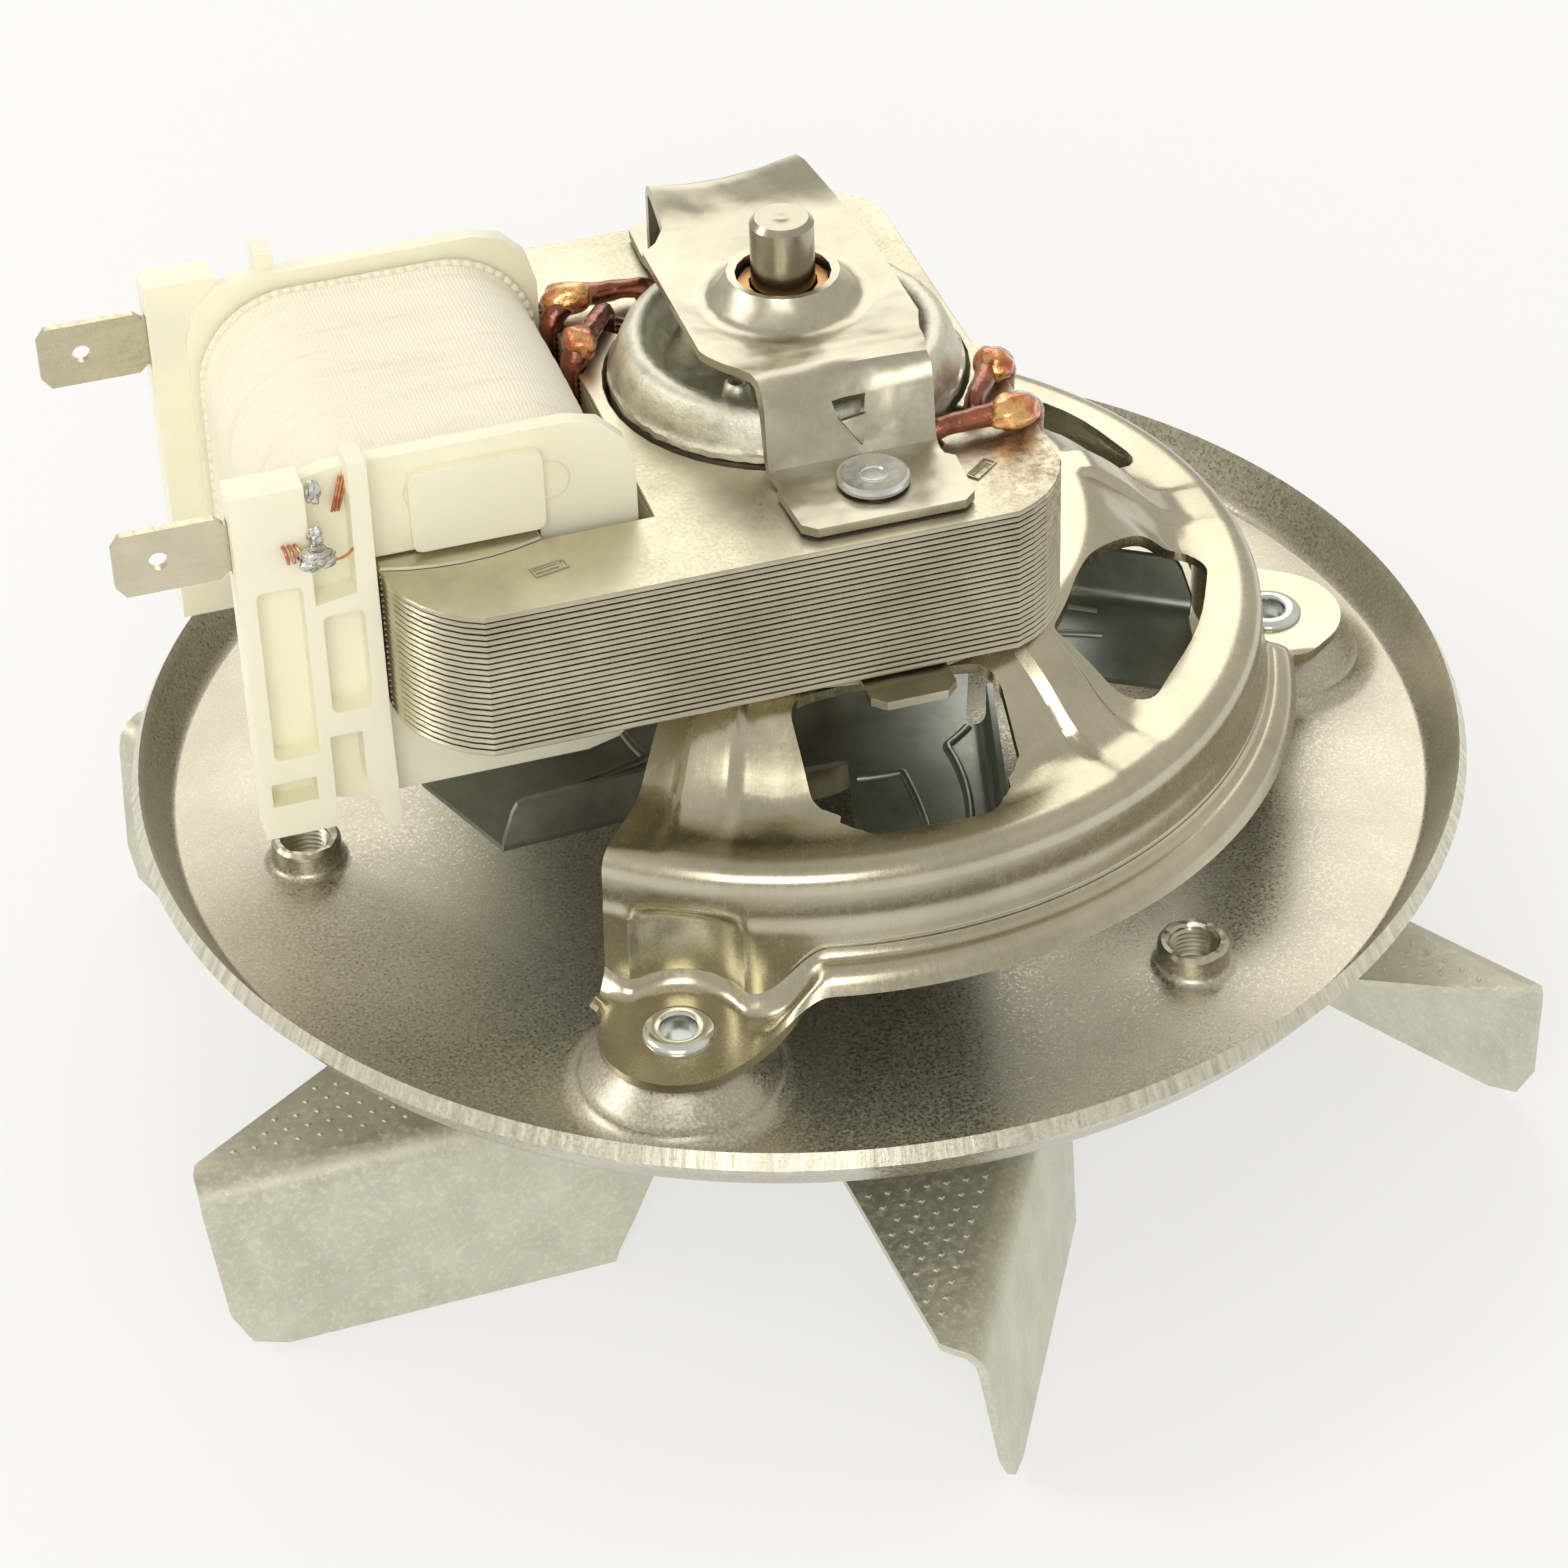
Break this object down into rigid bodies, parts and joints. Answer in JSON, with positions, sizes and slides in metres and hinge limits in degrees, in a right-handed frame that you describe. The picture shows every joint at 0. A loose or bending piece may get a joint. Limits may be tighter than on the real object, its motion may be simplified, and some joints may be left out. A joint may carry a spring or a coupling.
{
  "type": "oven fan motor",
  "caption": "Shaded-pole motor on a round dished mounting plate, with a cooling fan in its bell bracket and a bladed impeller under the plate to circulate oven air.",
  "frame": {"origin": "centre of the upper end face of the shaft", "axes": "+Z along the shaft, away from the impeller; +X away from the coil; +Y to the back"},
  "size_m": [0.1372, 0.1506, 0.0917],
  "materials": {
    "plate_steel": "matte",
    "bright_steel": "satin",
    "zinc_steel": "satin",
    "lamination_steel": "satin",
    "cast_rotor": "rough cast",
    "galvanised_sheet": "satin",
    "aluminised_sheet": "matte",
    "shaft_steel": "ground",
    "sintered_bronze": "satin",
    "varnished_copper": "gloss",
    "cream_plastic": "matte",
    "woven_tape": "matte",
    "tinned_brass": "satin"
  },
  "bodies": {
    "motor": {"mounting_plate": "plate_steel", "bell_bracket": "bright_steel", "ear_rivet_front": "zinc_steel", "ear_rivet_right": "zinc_steel", "ear_rivet_rear": "zinc_steel", "stator_core": "lamination_steel", "coil_core": "lamination_steel", "bobbin": "cream_plastic", "coil_winding": "woven_tape", "terminal_front": "tinned_brass", "terminal_rear": "tinned_brass", "shading_ring_rear_outer": "varnished_copper", "shading_ring_rear_inner": "varnished_copper", "shading_ring_front_inner": "varnished_copper", "shading_ring_front_outer": "varnished_copper", "top_bearing_bracket": "zinc_steel", "top_bearing": "sintered_bronze", "top_bearing_retainer": "zinc_steel", "bottom_bearing_bracket": "zinc_steel", "bottom_bearing": "sintered_bronze", "bottom_bearing_retainer": "zinc_steel", "stator_rivet_front": "zinc_steel", "stator_rivet_rear": "zinc_steel"},
    "rotor": {"shaft": "shaft_steel", "rotor_core": "lamination_steel", "rotor_cage": "cast_rotor", "cooling_fan": "galvanised_sheet", "cooler_collar": "zinc_steel", "fan_spacer": "zinc_steel", "main_fan": "aluminised_sheet", "fan_washer": "zinc_steel", "fan_nut": "zinc_steel"}
  },
  "joints": [
    {"name": "rotor_spin", "type": "hinge", "parent": "motor", "child": "rotor", "pos_m": [0, 0, 0], "axis": [0, 0, 1], "continuous": true}
  ]
}
